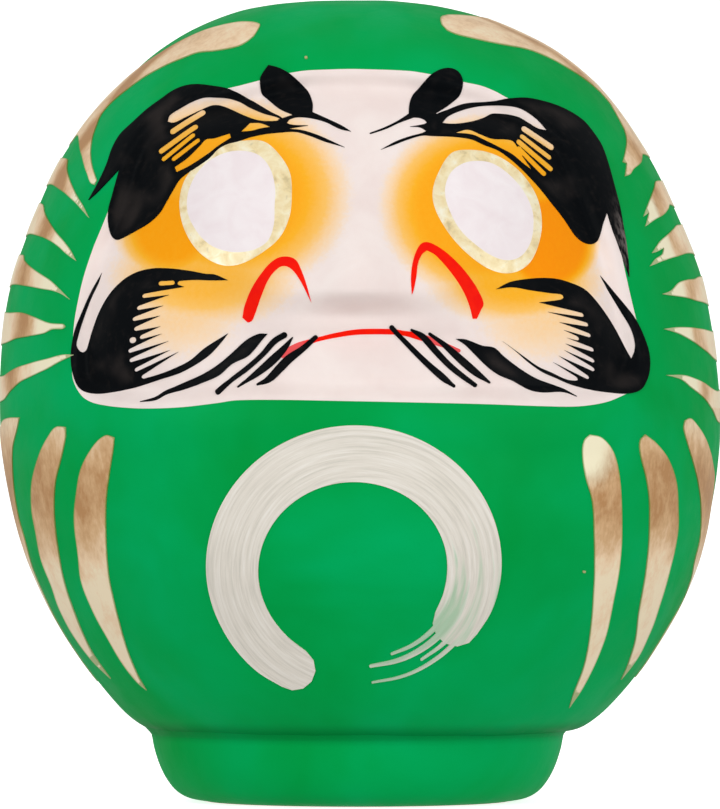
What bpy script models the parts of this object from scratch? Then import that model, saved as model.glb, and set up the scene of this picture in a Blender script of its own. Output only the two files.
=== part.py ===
"""Daruma doll: a hollow papier-mache tumbler doll on a weighted foot.

Metres, +Z up. The origin is the centre of the underside, and the face looks along -Y.
The body is moulded in a front and a back half, glued edge to edge over a paper strip. Its open
underside is closed by a cardboard disc, and it stands on a shallow tray that holds a clay weight.
"""

import math

import bmesh
import bpy
import numpy as np

MM = 0.001

# ---- Driving dimensions, in millimetres -------------------------------------------------------
HEIGHT = 200.0  # whole doll, underside to crown
HALF_WIDTH = 90.0  # the body at its widest
WALL = 2.0  # papier-mache thickness
GAP = 0.3  # clearance between pieces that are glued face to face
FOOT_TOP = 16.9  # rim of the foot tray, under the body
FOOT_RADIUS = 51.7  # foot tray at its rim
MOUTH_RADIUS = 36.0  # opening in the body's underside
BODY_SHIFT = 0.6  # the body's middle stands this far to +X of the foot's
RECESS = 4.2  # how far the face lies behind the hood and the chest
RECESS_SLOPE = 5.0  # width of the slope round the face
HOOD_ROLL = 1.2  # swelling of the hood and chest along the edge of the face

FACE_HALF_ANGLE = 56.0  # the finer facets of the front reach this far round each side, in degrees
FACE_COLUMNS, SIDE_COLUMNS, BACK_COLUMNS = 34, 5, 20
FACE_TOP, FACE_BOTTOM = 184.0, 94.0  # heights between which the facets are finer
FACE_FINENESS = 2.2  # how many times finer there
BODY_ROWS = 42
ROUND_STEPS = 44  # facets of the foot and the discs
STRIP_HALF_WIDTH = 7.0  # seam strip, each side of the joint
STRIP_THICKNESS = 0.6
STRIP_FOOT = 24.0  # its ends stop at this height
CARD = 1.5  # cardboard thickness
PAPER = 0.5  # base paper thickness
PAPER_RADIUS = 38.0

# Right half of the body seen from the front, crown to mouth: (half width, height).
BODY_PROFILE = [
    (0.0, HEIGHT),
    (13.0, 199.6),
    (25.5, 198.4),
    (38.5, 194.1),
    (49.5, 188.0),
    (59.0, 180.2),
    (67.5, 170.5),
    (74.0, 160.0),
    (78.7, 150.0),
    (82.9, 140.0),
    (86.4, 130.0),
    (88.8, 117.0),
    (HALF_WIDTH, 100.0),
    (89.2, 85.0),
    (85.5, 65.0),
    (79.5, 50.0),
    (70.7, 35.5),
    (62.5, 25.0),
    (56.5, 19.6),
    (51.5, 17.6),
    (44.0, FOOT_TOP + GAP),
    (MOUTH_RADIUS, FOOT_TOP + GAP),
]
# Depth over half width at each height: the face side is flatter than the back.
FRONT_DEPTH = [
    (0, 1.0), (20, 1.0), (40, 0.97), (80, 0.96), (100, 0.93), (120, 0.9), (150, 0.88), (185, 0.87),
    (200, 0.9),
]
BACK_DEPTH = [(0, 1.0), (20, 1.0), (50, 0.97), (100, 0.95), (150, 0.95), (200, 0.93)]
# The hand-made body leans a little: shift of its middle to +X at each height.
LEAN = [
    (17, 0.0), (25, 0.7), (60, 0.9), (100, 0.0), (130, -0.9), (165, -1.2), (187, -0.2), (195, -1.6),
    (200, -2.6),
]
# Edge of the recessed face, as (x, z) seen from the front, from the brow clockwise.
FACE_OUTLINE = [
    (0, 180.7), (17, 179.3), (27, 177), (37, 173), (47, 167), (55, 158), (60.5, 146), (64.5, 134),
    (66.5, 122), (69, 110), (66, 103), (60, 99.7), (50, 98.6), (30, 99.3), (0, 99.7), (-20, 100.2),
    (-30, 100.2), (-40, 98.9), (-52, 98.3), (-62, 99.2), (-68, 102.5), (-70.5, 110), (-69.5, 120),
    (-66, 137), (-61.5, 147), (-57, 157), (-50, 165), (-41, 171), (-31, 175.7), (-17, 179.5),
]
# Swellings of the face: (x, z, half width, half height, height outwards). Each is also mirrored.
FACE_SWELLINGS = [
    (31, 147, 17, 17, 3.6),  # eyeball
    (40, 165, 24, 8, 2.4),  # brow
    (54, 119, 15, 14, 4.2),  # cheek, under the whiskers
    (19, 128, 9, 8, 3.6),  # wing of the nose
]
NOSE_TIP = (0, 129)
NOSE_ROOT_Z = 160.0
NOSE_HEIGHT = 8.5
LIP_Z, CHIN_Z = 115.0, 105.0


# ---- Geometry helpers -------------------------------------------------------------------------
def curve_through(points, steps, closed=False):
    """Catmull-Rom curve through the points, with that many steps between each two."""
    pts = np.array(points, float)
    if closed:
        before, after = pts[-1:], pts[:2]
    else:
        before, after = 2 * pts[:1] - pts[1:2], 2 * pts[-1:] - pts[-2:-1]
    pts = np.concatenate([before, pts, after])
    t = np.linspace(0, 1, steps, endpoint=False)[:, None]
    spans = []
    for p0, p1, p2, p3 in zip(pts, pts[1:], pts[2:], pts[3:]):
        square, cube = 2 * p0 - 5 * p1 + 4 * p2 - p3, 3 * p1 - p0 - 3 * p2 + p3
        spans.append(0.5 * (2 * p1 + (p2 - p0) * t + square * t**2 + cube * t**3))
    if not closed:
        spans.append(pts[-2:-1])
    return np.concatenate(spans)


def spaced(points, count, fineness):
    """The polyline resampled to count points, closer together where fineness is larger."""
    steps = np.linalg.norm(np.diff(points, axis=0), axis=1) * (fineness[1:] + fineness[:-1]) / 2
    along = np.concatenate([[0], np.cumsum(steps)])
    wanted = np.linspace(0, along[-1], count)
    return np.stack([np.interp(wanted, along, points[:, i]) for i in range(points.shape[1])], axis=1)


def table(rows, z):
    """Value at height z in a (height, value) table, softened by averaging round z."""
    spots, values = np.array(rows, float).T
    return np.mean([np.interp(z + d, spots, values) for d in (-8, -4, 0, 4, 8)], axis=0)


def smoothstep(t):
    t = np.clip(t, 0, 1)
    return t * t * (3 - 2 * t)


def inside_distance(x, z, outline):
    """Distance of each (x, z) to the closed outline, positive inside it."""
    p = np.stack([np.ravel(x), np.ravel(z)], axis=1)
    a, b = outline, np.roll(outline, -1, axis=0)
    ab = b - a
    best = np.full(len(p), 1e9)
    crossings = np.zeros(len(p), int)
    for start, end, d in zip(a, b, ab):
        t = np.clip(((p - start) @ d) / (d @ d), 0, 1)
        best = np.minimum(best, np.linalg.norm(p - start - t[:, None] * d, axis=1))
        straddles = (start[1] > p[:, 1]) != (end[1] > p[:, 1])
        if abs(d[1]) > 1e-9:
            crossings += straddles & (p[:, 0] < start[0] + d[0] * (p[:, 1] - start[1]) / d[1])
    return np.where(crossings % 2 == 1, best, -best).reshape(np.shape(x))


FACE_EDGE = curve_through(FACE_OUTLINE, 4, closed=True)


def swelling(x, z, centre_x, centre_z, half_width, half_height):
    return np.exp(-(((x - centre_x) / half_width) ** 2) - ((z - centre_z) / half_height) ** 2)


def face_relief(x, z):
    """How far the front stands out of (or, below zero, behind) its plain body, along -Y."""
    inside = inside_distance(x, z, FACE_EDGE)
    out = HOOD_ROLL * np.exp(-((inside + 4.0) / 7.0) ** 2) - RECESS * smoothstep(inside / RECESS_SLOPE)
    in_face = smoothstep(inside / (2 * RECESS_SLOPE))
    for sx, sz, sw, sh, height in FACE_SWELLINGS:
        out = out + in_face * height * (swelling(x, z, sx, sz, sw, sh) + swelling(x, z, -sx, sz, sw, sh))
    rise = smoothstep((NOSE_ROOT_Z - z) / (NOSE_ROOT_Z - NOSE_TIP[1]))
    under = smoothstep((z - (NOSE_TIP[1] - 9)) / 7.0)
    ridge_width = 6.0 + 7.0 * rise
    out = out + in_face * NOSE_HEIGHT * rise * under * np.exp(-((x / ridge_width) ** 2))
    out = out - in_face * 1.2 * np.exp(-((z - LIP_Z) / 2.5) ** 2 - (x / 26.0) ** 2)
    out = out + in_face * 1.6 * np.exp(-((z - CHIN_Z) / 5.0) ** 2 - (x / 24.0) ** 2)
    return out


def body_points(columns, rows, depth):
    """Grid of points at that depth under the body's outer surface, in millimetres.

    columns are angles round the body in radians, 0 at the face and a quarter turn at +X. rows are
    (half width, height) pairs down the profile.
    """
    angle, half_width = np.meshgrid(columns, rows[:, 0])
    z = np.meshgrid(columns, rows[:, 1])[1]
    front = np.cos(angle) > 0
    ratio = np.where(front, table(FRONT_DEPTH, z), table(BACK_DEPTH, z))
    ratio = np.where(np.abs(np.cos(angle)) < 1e-9, 1.0, ratio)
    plain = np.stack([half_width * np.sin(angle), -half_width * ratio * np.cos(angle), z], axis=-1)
    run = np.gradient(rows[:, 0]), np.gradient(rows[:, 1])
    length = np.hypot(*run)
    outwards, upwards = -run[1] / length, run[0] / length  # profile normal: away from the axis, and up
    normal = np.stack(
        [
            outwards[:, None] * np.sin(angle),
            -outwards[:, None] * np.cos(angle),
            np.broadcast_to(upwards[:, None], angle.shape),
        ],
        axis=-1,
    )
    points = plain - depth * normal
    points[..., 0] = points[..., 0] + BODY_SHIFT + table(LEAN, z)
    relief = np.where(front, face_relief(plain[..., 0], z), 0.0)
    relief = relief * smoothstep(np.cos(angle) * 4)
    points[..., 1] = points[..., 1] - relief
    return points


def new_object(name, bm, material):
    bmesh.ops.recalc_face_normals(bm, faces=bm.faces)
    mesh = bpy.data.meshes.new(name)
    bm.to_mesh(mesh)
    bm.free()
    mesh.materials.append(material)
    mesh.shade_smooth()
    mesh.set_sharp_from_angle(angle=math.radians(35))
    obj = bpy.data.objects.new(name, mesh)
    bpy.context.scene.collection.objects.link(obj)
    return obj


def paint(name, colour, roughness, metallic=0.0):
    """A Principled material of one colour."""
    material = bpy.data.materials.new(name)
    material.use_nodes = True
    shader = material.node_tree.nodes["Principled BSDF"]
    shader.inputs["Base Color"].default_value = (*colour, 1.0)
    shader.inputs["Roughness"].default_value = roughness
    shader.inputs["Metallic"].default_value = metallic
    return material


def sheet_solid(name, outer, inner, material):
    """A closed solid between two point grids of the same shape. A row of equal points is one vertex."""
    bm = bmesh.new()

    def vertices(grid):
        made = []
        for row in grid:
            if np.ptp(row, axis=0).max() < 1e-6:
                made.append([bm.verts.new(row[0] * MM)] * len(row))
            else:
                made.append([bm.verts.new(p * MM) for p in row])
        return made

    def face(*corners):
        corners = list(dict.fromkeys(corners))
        if len(corners) > 2:
            bm.faces.new(corners)

    out, back = vertices(outer), vertices(inner)
    rows, columns = len(out), len(out[0])
    for r in range(rows - 1):
        for c in range(columns - 1):
            face(out[r][c], out[r + 1][c], out[r + 1][c + 1], out[r][c + 1])
            face(back[r][c], back[r][c + 1], back[r + 1][c + 1], back[r + 1][c])
    for r in range(rows - 1):
        for c in (0, columns - 1):
            face(out[r][c], out[r + 1][c], back[r + 1][c], back[r][c])
    for c in range(columns - 1):
        for r in (0, rows - 1):
            face(out[r][c], out[r][c + 1], back[r][c + 1], back[r][c])
    return new_object(name, bm, material)


def turned(name, profile, material):
    """Solid of revolution about Z, from a (radius, height) outline that starts and ends on the axis."""
    bm = bmesh.new()
    verts = [bm.verts.new((r * MM, 0, z * MM)) for r, z in profile]
    edges = [bm.edges.new(pair) for pair in zip(verts, verts[1:])]
    geom = verts + edges
    bmesh.ops.spin(
        bm, geom=geom, axis=(0, 0, 1), cent=(0, 0, 0), angle=math.tau, steps=ROUND_STEPS, use_merge=True
    )
    bmesh.ops.remove_doubles(bm, verts=bm.verts, dist=0.01 * MM)
    return new_object(name, bm, material)


# ---- Sub-parts --------------------------------------------------------------------------------
def body_rows():
    """(half width, height) pairs down the body's profile, closer together beside the face."""
    profile = curve_through(BODY_PROFILE, 8)
    below_top = smoothstep((FACE_TOP + 6 - profile[:, 1]) / 12)
    beside_face = below_top * smoothstep((profile[:, 1] - FACE_BOTTOM + 6) / 12)
    return spaced(profile, BODY_ROWS, 1 + (FACE_FINENESS - 1) * beside_face)


def front_angles():
    face = math.radians(FACE_HALF_ANGLE)
    side = np.linspace(math.pi / 2, face, SIDE_COLUMNS, endpoint=False)
    return np.concatenate([-side, np.linspace(-face, face, FACE_COLUMNS + 1), side[::-1]])


def half_shell(name, angles, shift, material):
    """One half of the body. shift moves it off the joint plane."""
    outer, inner = (body_points(angles, body_rows(), depth) for depth in (0, WALL))
    for grid in (outer, inner):
        grid[:, (0, -1), 1] = 0.0
        grid[0] = (table(LEAN, HEIGHT) + BODY_SHIFT, 0.0, grid[0, 0, 2])
        grid[..., 1] += shift
    return sheet_solid(name, outer, inner, material)


def seam_strip(material):
    """Paper strip glued inside the body over the joint of its halves, up one side and down the other."""
    rows = body_rows()
    rows = rows[(rows[:, 0] > STRIP_HALF_WIDTH) & (rows[:, 1] > STRIP_FOOT)]
    rim = np.array([-1.0, -0.5, 0.0, 0.5, 1.0]) * STRIP_HALF_WIDTH
    grids = []
    for depth in (WALL + 2 * GAP, WALL + 2 * GAP + STRIP_THICKNESS):
        sides = []
        for side in (-1, 1):
            points = body_points(side * (math.pi / 2 + rim / HALF_WIDTH), rows, depth)
            points[..., 1] = rim
            sides.append(points)
        grids.append(np.concatenate([sides[0][::-1], sides[1]]))
    return sheet_solid("seam_strip", *grids, material)


def disc(name, radius, bottom, thickness, material):
    top = bottom + thickness
    return turned(name, [(0, bottom), (radius, bottom), (radius, top), (0, top)], material)


def foot_tray(material):
    """Shallow round tray with a rounded underside, under the body."""
    floor = PAPER + GAP
    outer = [(FOOT_RADIUS, FOOT_TOP)]
    outer += [(51.2, 13.0), (49.5, 9.0), (47.7, 5.6), (45.3, 2.8), (42.4, 1.3), (39.0, floor)]
    inner = [(r - WALL, max(z, floor + WALL)) for r, z in outer[:-1]]
    return turned("foot_tray", [(0, floor)] + outer[::-1] + inner + [(0, floor + WALL)], material)


def foot_weight(material):
    """Fired clay cake that fills the tray up to the lid."""
    bottom = PAPER + GAP + WALL + GAP
    top = FOOT_TOP - CARD - GAP
    profile = [(0, bottom), (41.5, bottom), (44.0, bottom + 2.0), (47.0, top - 2.0), (46.5, top), (0, top)]
    return turned("foot_weight", profile, material)


def main():
    for obj in list(bpy.data.objects):
        bpy.data.objects.remove(obj)
    green = paint("green_lacquer", (0.0, 0.36, 0.08), 0.5)
    card = paint("grey_card", (0.42, 0.36, 0.28), 0.9)
    clay = paint("fired_clay", (0.45, 0.25, 0.16), 0.9)
    kraft = paint("kraft_paper", (0.58, 0.45, 0.30), 0.85)
    half_gap = GAP / 2
    half_shell("front_shell", front_angles(), -half_gap, green)
    half_shell("back_shell", np.linspace(math.pi / 2, 1.5 * math.pi, BACK_COLUMNS + 1), half_gap, green)
    seam_strip(kraft)
    disc("mouth_disc", MOUTH_RADIUS + 5.0, FOOT_TOP + GAP + WALL + GAP, CARD, card)
    foot_tray(green)
    foot_weight(clay)
    disc("foot_lid", FOOT_RADIUS - WALL - 2 * GAP, FOOT_TOP - CARD, CARD, card)
    disc("base_paper", PAPER_RADIUS, 0.0, PAPER, kraft)


main()
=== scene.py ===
"""Looks of the daruma doll: lacquered paper skins, thin films of hand-laid paint, studio and camera.

The frame is in metres. Shapes are worked out in millimetres of the doll's full size and scaled to the
frame. Paint outlines are (x, z) as seen from the front, x from the middle of the body, or
(degrees round from the face, z) on the sides.
"""

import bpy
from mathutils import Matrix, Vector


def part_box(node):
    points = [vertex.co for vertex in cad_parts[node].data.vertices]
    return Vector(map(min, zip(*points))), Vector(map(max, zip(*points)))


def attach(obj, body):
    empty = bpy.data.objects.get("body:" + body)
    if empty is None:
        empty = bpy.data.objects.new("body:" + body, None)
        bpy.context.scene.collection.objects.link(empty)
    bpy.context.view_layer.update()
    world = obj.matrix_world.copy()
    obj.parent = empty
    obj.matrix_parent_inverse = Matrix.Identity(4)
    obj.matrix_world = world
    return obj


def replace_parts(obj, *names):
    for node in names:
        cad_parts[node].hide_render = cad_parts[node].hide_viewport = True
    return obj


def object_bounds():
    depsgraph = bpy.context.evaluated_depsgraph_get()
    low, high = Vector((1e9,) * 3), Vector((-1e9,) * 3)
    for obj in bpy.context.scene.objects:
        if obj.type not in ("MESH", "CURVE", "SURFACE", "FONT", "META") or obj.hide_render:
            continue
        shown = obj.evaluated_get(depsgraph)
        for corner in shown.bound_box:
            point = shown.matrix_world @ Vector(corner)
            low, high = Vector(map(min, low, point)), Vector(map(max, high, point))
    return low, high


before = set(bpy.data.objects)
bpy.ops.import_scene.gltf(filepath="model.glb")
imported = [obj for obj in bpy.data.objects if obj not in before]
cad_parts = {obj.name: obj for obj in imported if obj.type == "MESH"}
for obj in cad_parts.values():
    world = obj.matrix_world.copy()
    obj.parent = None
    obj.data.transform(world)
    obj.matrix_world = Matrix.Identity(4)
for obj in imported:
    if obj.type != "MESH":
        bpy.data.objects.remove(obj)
CAD_BOX = [list(corner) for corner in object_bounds()]

import math

import bmesh
import bpy
import numpy as np
from mathutils import Vector
from mathutils.geometry import delaunay_2d_cdt

# ---- Sizes ------------------------------------------------------------------------------------
HEIGHT = 200.0  # of the doll in the drawings below, in millimetres
MM = (CAD_BOX[1][2] - CAD_BOX[0][2]) / HEIGHT  # metres in the frame for each of those
BODY_SHIFT = 0.6  # the body's middle stands this far to +X of the foot's
WALL = 2.0
FOOT_TOP = 16.9
RECESS, RECESS_SLOPE, HOOD_ROLL = 4.2, 5.0, 1.2
NOSE_TIP_Z, NOSE_ROOT_Z, NOSE_HEIGHT = 129.0, 160.0, 8.5
LIP_Z, CHIN_Z = 115.0, 105.0
BELLY_TOP = 98.0  # gold is toned as on the belly below this, and as beside the face above it
BODY_CENTRE = np.array([BODY_SHIFT, 0.0, 95.0])

# The body's right half seen from the front, crown to mouth: (half width, height).
BODY_PROFILE = [
    (0, 200), (12.5, 199.6), (24.6, 198.2), (37.6, 194.1), (49, 188), (58.5, 180.2), (67.1, 170.5),
    (74, 160), (78.7, 150), (82.9, 140), (86.4, 130), (88.8, 117), (90, 100), (89.2, 85), (85.5, 65),
    (79.5, 50), (70.7, 35.5), (62.5, 25), (56.5, 19.6), (51.5, 17.6), (44, 17.2), (36, 17.2),
]
# Depth over half width, and the shift of the body's middle to +X, at each height.
FRONT_DEPTH = [
    (20, 1.0), (40, 0.97), (80, 0.96), (100, 0.93), (120, 0.9), (150, 0.88), (185, 0.87), (200, 0.9),
]
BACK_DEPTH = [(20, 1.0), (50, 0.97), (100, 0.95), (150, 0.95), (200, 0.93)]
LEAN = [
    (17, 0.9), (25, 1.3), (60, 0.9), (100, 0), (130, -0.9), (165, -1.2), (187, 0), (195, -2.4),
    (200, -3.4),
]
FACE_OUTLINE = [
    (0, 181.2), (11.8, 180.9), (17.6, 179.9), (25, 178.2), (29.4, 177.3), (32.8, 176), (36.5, 174),
    (45.2, 169.7), (53, 162.8), (58, 153), (60.9, 145.7), (63.7, 137.2), (65, 130.8), (66.3, 124.9),
    (67.7, 119), (69.5, 110), (66.3, 102.9), (62.2, 100.5), (58.2, 99.3), (52.4, 98.6), (43.6, 98.7),
    (28.9, 99.2), (11.6, 99.6), (-7.7, 100), (-19.3, 100.2), (-30, 100.1), (-34.9, 99.4), (-43.5, 98.4),
    (-52.3, 98.1), (-58.2, 98.4), (-62.2, 98.9), (-65.5, 99.7), (-67.9, 101.3), (-70, 105), (-70.3, 109.7),
    (-70, 118), (-69.2, 123.4), (-67.6, 130.3), (-65.3, 137.4), (-63.4, 142.1), (-61.5, 147),
    (-59.3, 153.5), (-57, 160), (-52.5, 167.2), (-46, 172.6), (-38, 175.6), (-30.4, 177.2), (-24.5, 178.6),
    (-17.2, 180.4), (-11.8, 181.1),
]
# Swellings of the face: (x, z, half width, half height, height outwards). Each is also mirrored.
FACE_SWELLINGS = [
    (31, 147, 17, 17, 3.6), (40, 165, 24, 8, 2.4), (54, 119, 15, 14, 4.2), (19, 128, 9, 8, 3.6),
]

# ---- Thickness of the paint films over the skin ------------------------------------------------
UNDER = 0.1  # how deep each film is rooted
GROUND, OVER, TOP = 0.13, 0.25, 0.36  # face white; paint over it; strokes over other strokes
EYE_WHITE_TOP, EYE_RING_TOP, BROW_TOP = 0.18, 0.2, 0.3
FILM_STEP = 0.8  # spacing of a film's inner points
EDGE_STEP = 0.45  # spacing along its outline
STROKE_STEP, BROW_STEP = 0.6, 0.7  # the same in thin strokes, and in the brows and whiskers
FILM_REACH = 4.0  # how far inside a film its distance to the outline is worked out
SIDE_SCALE = 1.45  # millimetres round the side of the body for each degree

# ---- Facets of the skins -----------------------------------------------------------------------
BODY_ROWS, FACE_COLUMNS, SIDE_COLUMNS, BACK_COLUMNS = 270, 251, 25, 141
FACE_HALF_ANGLE = math.radians(60)  # the finer columns reach this far round from the face
FOOT_COLUMNS, FOOT_WOBBLE = 220, 0.0018


# ---- Curves and surfaces ----------------------------------------------------------------------
def smoothstep(t):
    t = np.clip(t, 0, 1)
    return t * t * (3 - 2 * t)


def table(rows, z):
    """Value at height z in a (height, value) table, softened by averaging round z."""
    spots, values = np.array(rows, float).T
    return np.mean([np.interp(z + d, spots, values) for d in (-8, -4, 0, 4, 8)], axis=0)


def curve_through(points, steps, closed=False):
    """Catmull-Rom curve through the points, with that many steps between each two."""
    pts = np.array(points, float)
    if closed:
        before, after = pts[-1:], pts[:2]
    else:
        before, after = 2 * pts[:1] - pts[1:2], 2 * pts[-1:] - pts[-2:-1]
    pts = np.concatenate([before, pts, after])
    t = np.linspace(0, 1, steps, endpoint=False)[:, None]
    spans = []
    for p0, p1, p2, p3 in zip(pts, pts[1:], pts[2:], pts[3:]):
        square, cube = 2 * p0 - 5 * p1 + 4 * p2 - p3, 3 * p1 - p0 - 3 * p2 + p3
        spans.append(0.5 * (2 * p1 + (p2 - p0) * t + square * t**2 + cube * t**3))
    if not closed:
        spans.append(pts[-2:-1])
    return np.concatenate(spans)


def spaced(points, count, fineness):
    """The polyline resampled to count points, closer together where fineness is larger."""
    steps = np.linalg.norm(np.diff(points, axis=0), axis=1) * (fineness[1:] + fineness[:-1]) / 2
    along = np.concatenate([[0], np.cumsum(steps)])
    wanted = np.linspace(0, along[-1], count)
    return np.stack([np.interp(wanted, along, points[:, i]) for i in range(points.shape[1])], axis=1)


def outline_distance(points, loops, reach=12.0):
    """Distance of each 2-D point to the nearest loop, up to reach, and its winding number in the loops."""
    best = np.full(len(points), reach)
    winding = np.zeros(len(points), int)
    for loop in loops:
        near = np.all((points > loop.min(axis=0) - reach) & (points < loop.max(axis=0) + reach), axis=1)
        part, closest, turns = points[near], best[near], winding[near]
        for start, end in zip(loop, np.roll(loop, -1, axis=0)):
            d = end - start
            to = part - start
            t = np.clip((to @ d) / max(d @ d, 1e-12), 0, 1)
            closest = np.minimum(closest, np.hypot(to[:, 0] - t * d[0], to[:, 1] - t * d[1]))
            left = d[0] * to[:, 1] - d[1] * to[:, 0]
            turns += (start[1] <= part[:, 1]) & (end[1] > part[:, 1]) & (left > 0)
            turns -= (start[1] > part[:, 1]) & (end[1] <= part[:, 1]) & (left < 0)
        best[near], winding[near] = closest, turns
    return best, winding


PROFILE = curve_through(BODY_PROFILE, 16)
FACE_EDGE = curve_through(FACE_OUTLINE, 4, closed=True)


def bell(x, z, centre_x, centre_z, half_width, half_height):
    return np.exp(-(((x - centre_x) / half_width) ** 2) - ((z - centre_z) / half_height) ** 2)


def face_relief(x, z):
    """How far the front stands out of (or, below zero, behind) its plain body, along -Y."""
    flat = np.stack([np.ravel(x), np.ravel(z)], axis=1)
    distance, winding = outline_distance(flat, [FACE_EDGE])
    inside = np.where(winding != 0, distance, -distance).reshape(np.shape(x))
    out = HOOD_ROLL * np.exp(-(((inside + 4.0) / 7.0) ** 2)) - RECESS * smoothstep(inside / RECESS_SLOPE)
    in_face = smoothstep(inside / (2 * RECESS_SLOPE))
    for sx, sz, sw, sh, height in FACE_SWELLINGS:
        out = out + in_face * height * (bell(x, z, sx, sz, sw, sh) + bell(x, z, -sx, sz, sw, sh))
    rise = smoothstep((NOSE_ROOT_Z - z) / (NOSE_ROOT_Z - NOSE_TIP_Z))
    under = smoothstep((z - (NOSE_TIP_Z - 9)) / 7.0)
    out = out + in_face * NOSE_HEIGHT * rise * under * np.exp(-((x / (6.0 + 7.0 * rise)) ** 2))
    out = out - in_face * 1.2 * bell(x, z, 0, LIP_Z, 26.0, 2.5)
    return out + in_face * 1.6 * bell(x, z, 0, CHIN_Z, 24.0, 5.0)


def hand_made(points):
    """Unevenness of pasted paper under the lacquer, and the faint ridge over the joint of the halves."""
    out = 0.08 * np.exp(-((points[..., 1] / 1.6) ** 2))
    for seed, (size, height) in enumerate([(60, 0.12), (24, 0.1), (9, 0.03)]):
        rng = np.random.default_rng(seed)
        for wave in range(9):
            direction = rng.normal(size=3)
            direction *= 2 * math.pi / (size * rng.uniform(0.7, 1.4) * np.linalg.norm(direction))
            out = out + height / 3 * np.sin(points @ direction + rng.uniform(0, 6.28))
    return out


def body_point(angle, half_width, z):
    """Point of the body's surface, that many radians round from the face."""
    front = np.cos(angle) > 0
    ratio = np.where(front, table(FRONT_DEPTH, z), table(BACK_DEPTH, z))
    x = half_width * np.sin(angle)
    relief = np.where(front, face_relief(x, z), 0.0) * smoothstep(np.cos(angle) * 4)
    y = -half_width * ratio * np.cos(angle) - relief
    points = np.stack([x + BODY_SHIFT + table(LEAN, z), y, z + 0 * x], axis=-1)
    outwards = points - BODY_CENTRE
    outwards /= np.linalg.norm(outwards, axis=-1, keepdims=True)
    return points + outwards * hand_made(points)[..., None]


def half_width_at(z):
    return np.interp(z, PROFILE[::-1, 1], PROFILE[::-1, 0])


def seen_from_front(flat):
    """Surface points for (x, z) pairs as seen from the front."""
    x, z = flat[:, 0], flat[:, 1]
    angle = np.arcsin(np.clip((x - table(LEAN, z)) / half_width_at(z), -1, 1))
    return body_point(angle, half_width_at(z), z)


def round_the_side(flat):
    """Surface points for (millimetres round from the face, z) pairs."""
    return body_point(np.radians(flat[:, 0] / SIDE_SCALE), half_width_at(flat[:, 1]), flat[:, 1])


def with_normals(place, flat):
    """Surface points of the flat ones, and the outward normals there."""
    points = place(flat)
    normal = np.cross(place(flat + (0.2, 0)) - points, place(flat + (0, 0.2)) - points)
    return points, normal / np.linalg.norm(normal, axis=1, keepdims=True)


# ---- Outlines ---------------------------------------------------------------------------------
def smooth_loop(points, corner=58.0):
    """Closed curve through the points, sharp where the outline turns by more than corner degrees."""
    pts = np.array(points, float)
    ahead = np.roll(pts, -1, axis=0) - pts
    behind = np.roll(ahead, 1, axis=0)
    cosine = np.sum(ahead * behind, axis=1)
    cosine /= np.linalg.norm(ahead, axis=1) * np.linalg.norm(behind, axis=1)
    sharp = cosine < math.cos(math.radians(corner))
    tangent = ahead + behind
    tangent /= np.maximum(np.linalg.norm(tangent, axis=1, keepdims=True), 1e-9)
    lengths = np.linalg.norm(ahead, axis=1)
    spans = []
    for i, start in enumerate(pts):
        j = (i + 1) % len(pts)
        length = lengths[i]
        leave = ahead[i] if sharp[i] else tangent[i] * min(length, 2 * lengths[i - 1])
        arrive = ahead[i] if sharp[j] else tangent[j] * min(length, 2 * lengths[j])
        t = np.linspace(0, 1, max(2, int(length / EDGE_STEP)), endpoint=False)[:, None]
        spans.append(
            (2 * t**3 - 3 * t**2 + 1) * start + (t**3 - 2 * t**2 + t) * leave
            + (3 * t**2 - 2 * t**3) * pts[j] + (t**3 - t**2) * arrive
        )
    return np.concatenate(spans)


def stroke(points, widths):
    """Outline of a brush stroke along the points, with its width at each. The ends are rounded."""
    steps = max(3, int(np.linalg.norm(np.diff(points, axis=0), axis=1).mean() / EDGE_STEP))
    line = curve_through([(x, z, w) for (x, z), w in zip(points, widths)], steps)
    run = np.gradient(line[:, :2], axis=0)
    run /= np.linalg.norm(run, axis=1, keepdims=True)
    side = np.stack([-run[:, 1], run[:, 0]], axis=1)
    half = np.maximum(line[:, 2:], 0.1) / 2
    ends = []
    for at, ahead in ((-1, 1), (0, -1)):
        for turn in np.radians((60, 30, 0, -30, -60)) * ahead:
            outwards = run[at] * ahead * math.cos(turn) + side[at] * math.sin(turn)
            ends.append(line[at, :2] + half[at] * outwards)
    left, right = line[:, :2] + side * half, line[:, :2] - side * half
    return np.concatenate([left, ends[:5], right[::-1], ends[5:]])


def bar(start, end, width):
    return stroke([start, end], [width, width])


def comb(tips, roots, half_width, rise):
    """Points along the edge of a mass of hair: black tips between pale fingers with round ends."""
    points = []
    for tip, (x, z) in zip(tips, roots):
        back = half_width if tip[0] > x else -half_width
        points += [tip, (x + back, z + half_width + rise), (x, z), (x + back, z - half_width + rise)]
    return points


def wound(loop, direction):
    """The loop, turned to run anticlockwise for direction 1 and clockwise for -1."""
    x, z = np.array(loop).T
    area = np.sum(x * np.roll(z, -1) - np.roll(x, -1) * z)
    return loop if area * direction > 0 else loop[::-1]


# ---- Mesh building ----------------------------------------------------------------------------
def make_piece(name, vertices, faces, material, sharp=40.0):
    mesh = bpy.data.meshes.new(name)
    mesh.from_pydata((np.asarray(vertices) * MM).tolist(), [], faces)
    mesh.validate()
    mesh.materials.append(material)
    mesh.shade_smooth()
    mesh.set_sharp_from_angle(angle=math.radians(sharp))
    piece = bpy.data.objects.new(name, mesh)
    bpy.context.scene.collection.objects.link(piece)
    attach(piece, "root")
    return piece


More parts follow.
